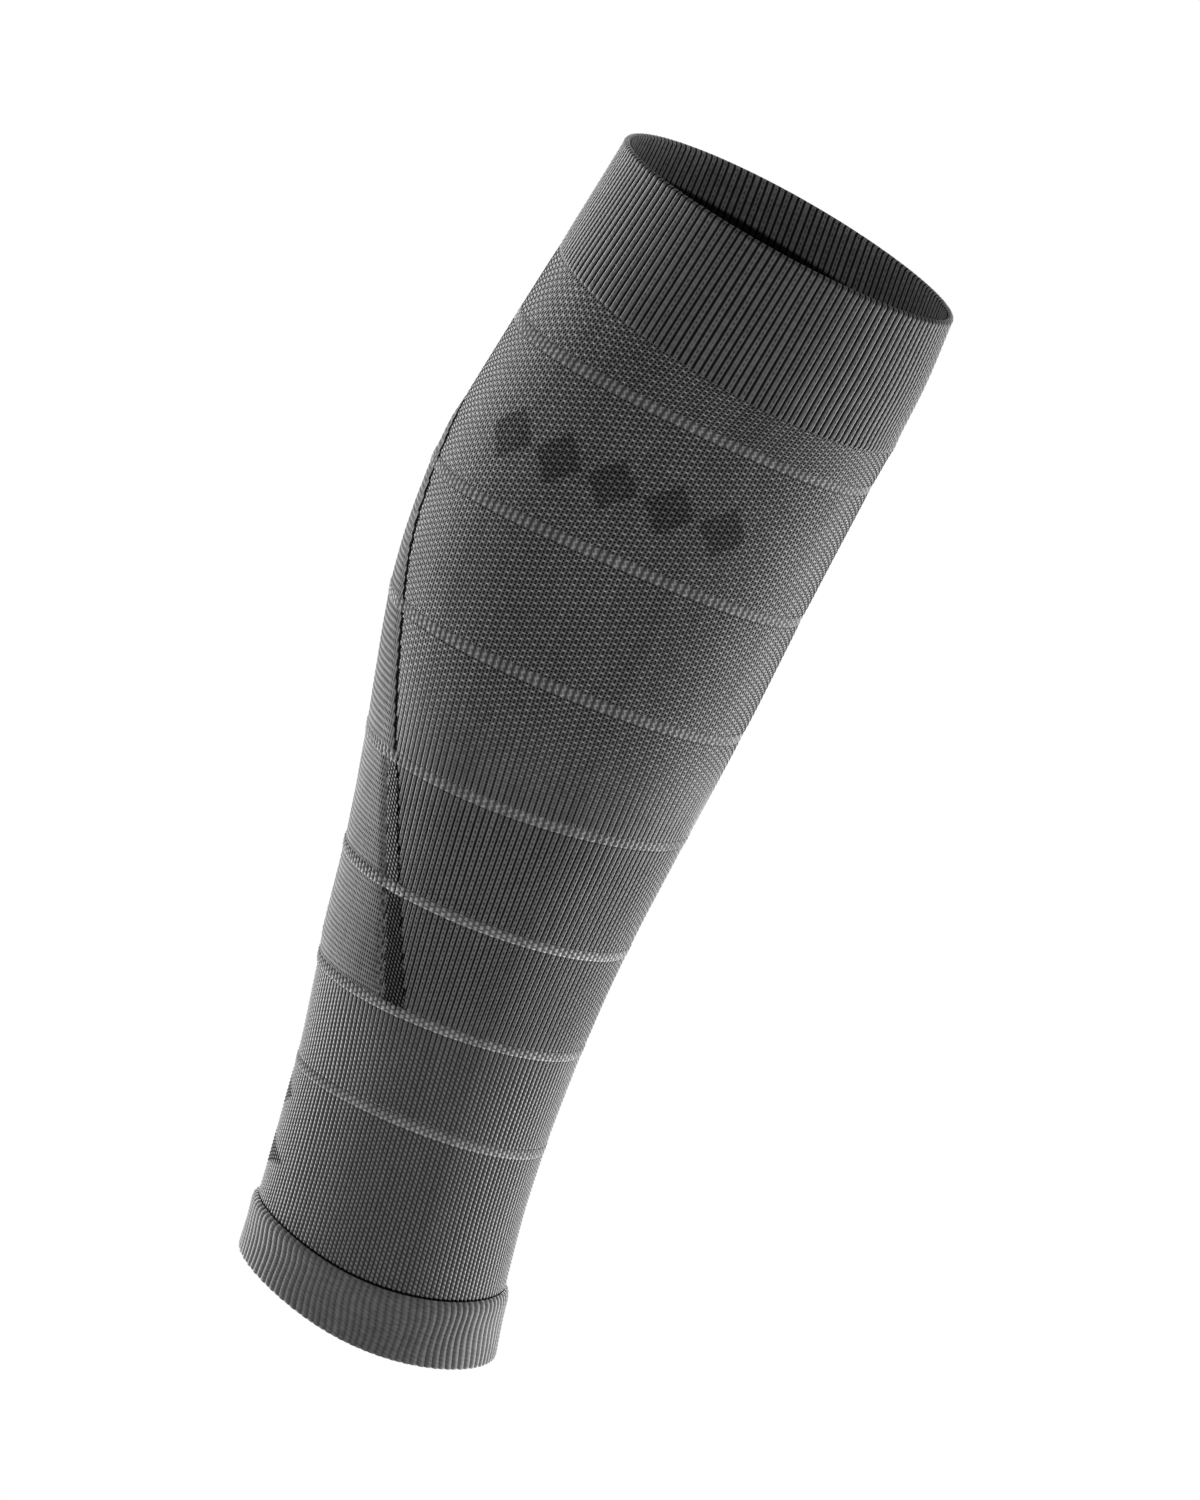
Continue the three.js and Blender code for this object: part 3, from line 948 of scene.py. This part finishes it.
# %% The knits
knits = {
    "cuff": knit_material("cuff_knit", 0.067, cuff_pattern, sheen=0.9),
    "body": knit_material("body_knit", 0.079, body_pattern, sheen=1.0, edit=marked),
    "ankle": knit_material("ankle_knit", 0.069, body_pattern, sheen=1.0, hairs=0.36, edit=marked),
    "hem": knit_material("hem_knit", 0.062, hem_pattern),
    "panel": knit_material("panel_knit", 0.064, panel_pattern, stagger=0.0, sheen=0.4, edit=bordered),
    "strip": knit_material("gusset_knit", 0.022, strip_pattern, sheen=0.4, edit=strip_tone),
    "upper_ring": knit_material("ring_yarn_upper", 0.12, loop_pattern, sheen=0.35),
    "lower_ring": knit_material("ring_yarn_lower", 0.15, bead_pattern, sheen=0.45),
}
for knit, material in knits.items():
    print(knit, len(material.node_tree.nodes), "nodes")


# %% Finish a piece
def finish_piece(piece, knit, slot, *nodes):
    """Gives a piece its material and body, and hides the nodes that it stands for; slot is not used."""
    piece.data.materials.clear()
    piece.data.materials.append(knits[knit])
    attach(piece, "root")
    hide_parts(*nodes)
    print(piece.name, len(piece.data.polygons) * 2, "triangles")


def declare_cloth(piece, band):
    """Says how large the band of cloth is, laid flat as it is worn."""
    girth = girth_at((band["low"] + band["high"]) / 2)
    height = float(band["high"] - band["low"])
    print(piece.name, "flat", round(girth / MM), "by", round(height / MM, 1), "mm")


# %% [markdown]
# ## The body
# Eight bands of the same knit fill the spaces between the cuff, the rings and the hem. One long tube would
# do as well, but a band for each space lets the rings be pieces of their own. Outside, every half stitch
# has its own row. Inside, a row for every second stitch is enough.

# %% Rows of a band
INNER_SHARE = -0.35
INNER_STEP = 2


def band_section(band, outward=0.0):
    """Rows down the outside of a band and up its inside."""
    def level_of(stitch):
        return band["low"] + (band["high"] - band["low"]) * (stitch - band["start"]) / band["count"]

    top = band["start"] + band["count"]
    outside = [top - half / 2 for half in range(2 * band["count"] + 1)]
    rows = [(level_of(stitch), outward, stitch, 1.0) for stitch in outside]
    steps = max(1, band["count"] // INNER_STEP)
    inside = [band["start"] + band["count"] * step / steps for step in range(steps + 1)]
    rows += [(level_of(stitch), -WALL, stitch, INNER_SHARE) for stitch in inside]
    return rows


# %% Body bands
RIB_RELIEF = 0.42 * MM
BODY_BEADS = 0.09 * MM

for band in bands:
    if not band["name"].startswith("body_band"):
        continue
    section = band_section(band)
    body_band = rolled_band(band["name"], RIBS, VERTICES_PER_RIB, section, RIB_RELIEF, BODY_BEADS)
    near_ankle = band["name"] in ("body_band_7", "body_band_8")
    finish_piece(body_band, "ankle" if near_ankle else "body", "body_knit", "leg_tube")
    declare_cloth(body_band, band)


# %% [markdown]
# ## The pale rings
# A ring is two stitches of a brighter yarn. The four upper ones lie almost level with the body, and the
# three lower ones stand out a little more. A ring runs over the calf panel as well, so it is lifted there.
# It isn't declared as a sheet: it is so narrow that the thickness of its two edges would count as cloth.

# %% Rings
LAST_UPPER_RING = 4
UPPER_RING_PROUD = 0.04 * MM
LOWER_RING_PROUD = 0.08 * MM
RING_BEADS = 0.12 * MM

for band in bands:
    if not band["name"].startswith("ring_"):
        continue
    number = int(band["name"].split("_")[1])
    upper = number <= LAST_UPPER_RING
    section = band_section(band, UPPER_RING_PROUD if upper else LOWER_RING_PROUD)
    ring = rolled_band(band["name"], RIBS, VERTICES_PER_RIB, section, RIB_RELIEF, RING_BEADS, ring_lift)
    finish_piece(ring, "upper_ring" if upper else "lower_ring", "pale_yarn", f"reflective_ring_{number}")


# %% [markdown]
# ## The knee cuff
# The cuff has deeper ribs, and its rim is the fold of the cloth: the section goes over the top in a half
# circle. A flat top edge would look cut off. The inside of the far wall shows in the photograph, so the
# ribs are modelled there too.

# %% Knee cuff
CUFF_RELIEF = 0.55 * MM
CUFF_BEADS = 0.07 * MM
RIM_RADIUS = WALL / 2
RIM_STEPS = 5
RIM_SHARES = [0.75, 0.5, 0.8, 0.8]


def rim_rows(band):
    """Rows over the rim, from the inside to the outside."""
    top = band["start"] + band["count"]
    rows = []
    for step in range(1, RIM_STEPS):
        angle = math.pi * step / RIM_STEPS
        out = -WALL / 2 - RIM_RADIUS * math.cos(angle)
        level = band["high"] - RIM_RADIUS + RIM_RADIUS * math.sin(angle)
        rows.append((level, out, top + 1.0 - step / RIM_STEPS, RIM_SHARES[step - 1]))
    return rows


def cuff_section(band):
    """Rows of the cuff, which leave room for the rim at the top, and the rim's."""
    rows = []
    for level, out, stitch, share in band_section(band):
        height = (level - band["low"]) / (band["high"] - band["low"])
        rows.append((level - RIM_RADIUS * height, out, stitch, share))
    return rows + rim_rows(band)


cuff_band = band_of["top_cuff"]
section = cuff_section(cuff_band)
top_cuff = rolled_band("ribbed_top_cuff", RIBS, VERTICES_PER_RIB, section, CUFF_RELIEF, CUFF_BEADS)
finish_piece(top_cuff, "cuff", "rib_knit", "top_cuff")
declare_cloth(top_cuff, cuff_band)


# %% [markdown]
# ## The ankle hem
# The hem is a thicker welt with fewer, wider ribs. Its upper edge stands out of the body as a soft lip
# over a line of painted shadow on the body, and it falls in a little to the lower edge. A plain thicker
# band would miss that lip, so the hem's section is a short profile of its own.

# %% Ankle hem
HEM_PROUD = 1.5 * MM
HEM_HEIGHTS = [0.0, 0.5, 0.86, 0.95, 1.0]
HEM_SHARES = [0.55, 0.7, 1.0, 0.85, 0.35]
HEM_EDGE_RISE = 0.4 * MM
HEM_BEADS = 0.05 * MM
VERTICES_PER_HEM_RIB = 6


def hem_section(band):
    """Rows of the hem: the lip, the outside, the lower edge and the inside."""
    count = band["count"]
    rows = []
    for half in range(2 * count, -1, -1):
        height = half / (2 * count)
        out = HEM_PROUD * np.interp(height, HEM_HEIGHTS, HEM_SHARES)
        rows.append((band["low"] + (band["high"] - band["low"]) * height, out, half / 2, 1.0))
    rows.append((band["low"], -WALL / 2, 0.0, 0.4))
    rows.append((band["low"] + HEM_EDGE_RISE, -WALL, 0.0, INNER_SHARE))
    rows.append((band["high"], -WALL, float(count), INNER_SHARE))
    return rows


hem_band = band_of["bottom_cuff"]
section = hem_section(hem_band)
hem = rolled_band("ribbed_bottom_cuff", HEM_RIBS, VERTICES_PER_HEM_RIB, section, RIB_RELIEF, HEM_BEADS)
finish_piece(hem, "hem", "rib_knit", "bottom_cuff")
declare_cloth(hem, hem_band)


# %% [markdown]
# ## The calf panel
# The panel is a denser double knit, so fine that only its courses show as small ridges. It could be cut
# out of the body's mesh, but its edge would then follow the body's faces. So it is a grid that narrows to
# the top with the panel's outline, its border tucked under the body's face, and a thickness.

# %% A patch of cloth
def patch_grid(name, columns, rows, edges, low, high):
    """A flat grid laid over a patch of the leg, between two counts of ribs for each level."""
    piece = flat_grid(name, columns, rows)
    column, row = grid_indices(piece.data, columns, rows)
    level = low + (high - low) * row / rows
    near, far = edges(level)
    ribs = near + (far - near) * column / columns
    turn = ribs / RIBS + wander(ribs / RIBS, level)
    return piece, ribs, turn, level


def stitch_at(level):
    """The count of stitches at a level."""
    lows = [band["low"] for band in bands] + [bands[-1]["high"]]
    starts = [band["start"] for band in bands] + [TOTAL_STITCHES]
    return np.interp(level, lows, starts)


def courses_between(low, high):
    """The whole number of courses between two levels."""
    return int(round(float(stitch_at(high) - stitch_at(low))))


def along_course(ribs):
    """The length along a course of a count of ribs."""
    return ribs / RIBS * 2 * math.pi * LEG_RADIUS


def make_cloth(piece, points, ribs, stitches, from_edge, thickness):
    """Shapes a patch, maps its stitches, notes the distance from its edge and gives it a thickness."""
    set_shape(piece.data, points)
    set_stitch_map(piece.data, ribs, stitches)
    set_value(piece.data, "edge", from_edge / MM)
    close_shell(piece)
    solidify = piece.modifiers.new("thickness", "SOLIDIFY")
    solidify.thickness = thickness
    solidify.offset = -1
    bpy.context.view_layer.objects.active = piece
    bpy.ops.object.modifier_apply(modifier=solidify.name)
    bpy.ops.object.shade_smooth()


# %% Calf panel
PANEL_COLUMNS = 84
PANEL_THICKNESS = 0.9 * MM
PANEL_BORDER = 1.0 * MM
TUCK = 0.35 * MM
FINE_RELIEF = 0.08 * MM


def panel_ribs(level):
    """The panel's two edges, in ribs from the middle of the calf."""
    edge = in_steps(panel_edge(level) * RIBS)
    return -edge, edge


rows = 2 * courses_between(PANEL_LOW, PANEL_HIGH)
patch = patch_grid("calf_panel_knit", PANEL_COLUMNS, rows, panel_ribs, PANEL_LOW, PANEL_HIGH)
panel, ribs, turn, level = patch
stitches = stitch_at(level)
from_edge = along_course(panel_ribs(level)[1] - np.abs(ribs))
from_end = np.minimum(PANEL_HIGH - level, level - PANEL_LOW)
border = soft_step(np.minimum(from_edge, from_end) / PANEL_BORDER)
out = panel_lift(turn, level) + (TUCK + COVER) * border - TUCK
out = out + FINE_RELIEF * np.cos(2 * math.pi * stitches) * border
make_cloth(panel, leg_point(turn, level, out), ribs, stitches, from_edge, PANEL_THICKNESS)
finish_piece(panel, "panel", "panel_knit", "calf_panel")


# %% [markdown]
# ## The gusset strips
# Where the panel widens, a wedge of dense dark stitches fills the corner between it and the body. Its
# edges go in small steps, because knitting moves an edge by single needles. It is made as the panel is, and
# sinks a little into the body along both edges, so that no gap shows.

# %% Gusset strips
STRIP_COLUMNS = 16
STRIP_ROWS_PER_COURSE = 4
STRIP_THICKNESS = 0.6 * MM
STRIP_TUCK = 0.3 * MM
STRIP_BORDER = 0.8 * MM
STRIP_RIB_FINENESS = 1.5


def strip_edges(side):
    """A strip's two edges at a level, in ribs from low to high."""
    def edges(level):
        near, far = strip_ribs(level)
        return (near, far) if side > 0 else (-far, -near)

    return edges


for side, label in ((1, "inner"), (-1, "outer")):
    rows = STRIP_ROWS_PER_COURSE * courses_between(GUSSET_LOW, GUSSET_HIGH)
    name = f"gusset_strip_{label}"
    patch = patch_grid(name, STRIP_COLUMNS, rows, strip_edges(side), GUSSET_LOW, GUSSET_HIGH)
    strip, ribs, turn, level = patch
    near, far = strip_ribs(level)
    from_far = along_course(far - np.abs(ribs))
    from_near = along_course(np.abs(ribs) - near)
    border = soft_step(np.minimum(from_far, from_near + STRIP_TUCK) / STRIP_BORDER)
    stitches = stitch_at(level)
    seed = np.cos(2 * math.pi * stitches) * np.cos(4 * math.pi * ribs)
    out = -STRIP_TUCK + (STRIP_TUCK + COVER + FINE_RELIEF * seed) * border
    points = leg_point(turn, level, out)
    fine_ribs, fine_stitches = ribs * STRIP_RIB_FINENESS, stitches * STRIP_FINENESS
    make_cloth(strip, points, fine_ribs, fine_stitches, from_far, STRIP_THICKNESS)
    finish_piece(strip, "strip", "gusset_knit", f"gusset_{label}")


# %% [markdown]
# ## The room
# A pale floor far below, a white room and two soft lights from the sides. One strong light would be
# simpler, but the photograph has no hard shadow. The sleeve hangs in the air, as its leg is not there, so
# its shadow on the floor falls out of the picture.

# %% Floor and room
FLOOR_SIZE = 60
FLOOR_LEVEL = -1.3
ROOM_STRENGTH = 1.06

deselect_all()
bpy.ops.mesh.primitive_plane_add(size=FLOOR_SIZE, location=(0, 0, FLOOR_LEVEL))
floor = bpy.context.object
floor.name = "studio_floor"
paper = Shader("studio_paper")
paper_sockets = {"Base Color": (0.95, 0.95, 0.95, 1), "Roughness": 1.0}
paper_surface = paper.node("ShaderNodeBsdfPrincipled", {}, paper_sockets)
paper.node("ShaderNodeOutputMaterial", {}, {"Surface": paper_surface})
floor.data.materials.append(paper.material)

world = bpy.data.worlds.new("studio")
bpy.context.scene.world = world
world.use_nodes = True
background = world.node_tree.nodes["Background"]
background.inputs["Color"].default_value = (1, 1, 1, 1)
background.inputs["Strength"].default_value = ROOM_STRENGTH


# %% Soft lights
LIGHT_AIM = Vector((0, 0, -0.06))


def soft_light(name, place, size, power):
    """A large soft light that faces the sleeve."""
    data = bpy.data.lights.new(name, "AREA")
    data.shape = "RECTANGLE"
    data.size, data.size_y = size
    data.energy = power
    light = bpy.data.objects.new(name, data)
    bpy.context.scene.collection.objects.link(light)
    direction = LIGHT_AIM - Vector(place)
    light.rotation_euler = direction.to_track_quat("-Z", "Y").to_euler()
    light.location = place
    print(name, power, "watts")


soft_light("calf_side_light", (0.75, 1.3, -0.5), (0.8, 1.6), 92)
soft_light("shin_side_light", (0.65, -1.35, -0.5), (0.9, 1.6), 90)

# %% [markdown]
# ## The camera
# The photograph shows the outer side of the leg from a little above, and is turned so that the leg leans.
# Turning the camera about its own line of sight gives that lean and leaves the sleeve upright on its axis.

# %% Camera
PHOTO_PIXEL = 0.2959 * MM
PHOTO_HEIGHT = 1500
CAMERA_AIM = Vector((0, -0.00405, -0.0561))
CAMERA_DISTANCE = 3.0
CAMERA_ELEVATION = math.radians(12.5)
CAMERA_ROLL = math.radians(21.9)
SENSOR = 36.0

toward = Vector((math.cos(CAMERA_ELEVATION), 0, -math.sin(CAMERA_ELEVATION)))
level_right = Vector((0, -1, 0))
level_up = level_right.cross(toward)
right = level_right * math.cos(CAMERA_ROLL) + level_up * math.sin(CAMERA_ROLL)
up = level_up * math.cos(CAMERA_ROLL) - level_right * math.sin(CAMERA_ROLL)
camera_data = bpy.data.cameras.new("camera")
camera_data.sensor_width = SENSOR
camera_data.lens = SENSOR * CAMERA_DISTANCE / (PHOTO_HEIGHT * PHOTO_PIXEL)
camera = bpy.data.objects.new("camera", camera_data)
bpy.context.scene.collection.objects.link(camera)
facing = Matrix((right, up, -toward)).transposed().to_4x4()
camera.matrix_world = Matrix.Translation(CAMERA_AIM - toward * CAMERA_DISTANCE) @ facing
bpy.context.scene.camera = camera
bpy.context.scene.view_settings.view_transform = "Standard"
print("lens", round(camera_data.lens, 1), "mm")
